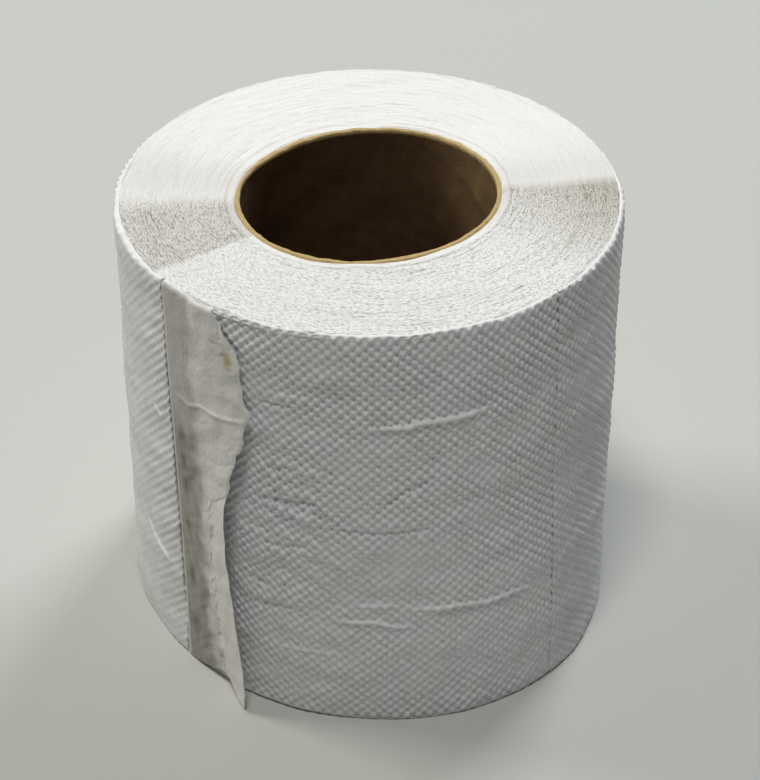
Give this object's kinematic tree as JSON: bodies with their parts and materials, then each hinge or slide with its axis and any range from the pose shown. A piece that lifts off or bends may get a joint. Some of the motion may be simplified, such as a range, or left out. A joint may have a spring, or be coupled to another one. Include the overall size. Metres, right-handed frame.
{
  "type": "toilet paper roll",
  "caption": "Part-used roll of white embossed toilet tissue on a cardboard core, standing on end, with a torn loose tail.",
  "frame": {"origin": "on the core's axis, at the flat end the roll stands on", "axes": "+Z along the core's axis, upwards; the loose tail is on the outside between -X and -Y, about 128 degrees clockwise from +X seen from above"},
  "size_m": [0.1012, 0.1012, 0.095],
  "materials": {
    "tissue": "soft, matte, embossed all over with small dots",
    "core_cardboard": "raw, matte, spirally wound"
  },
  "bodies": {
    "root": {"tissue_roll": "tissue", "core_tube": "core_cardboard"}
  },
  "joints": []
}
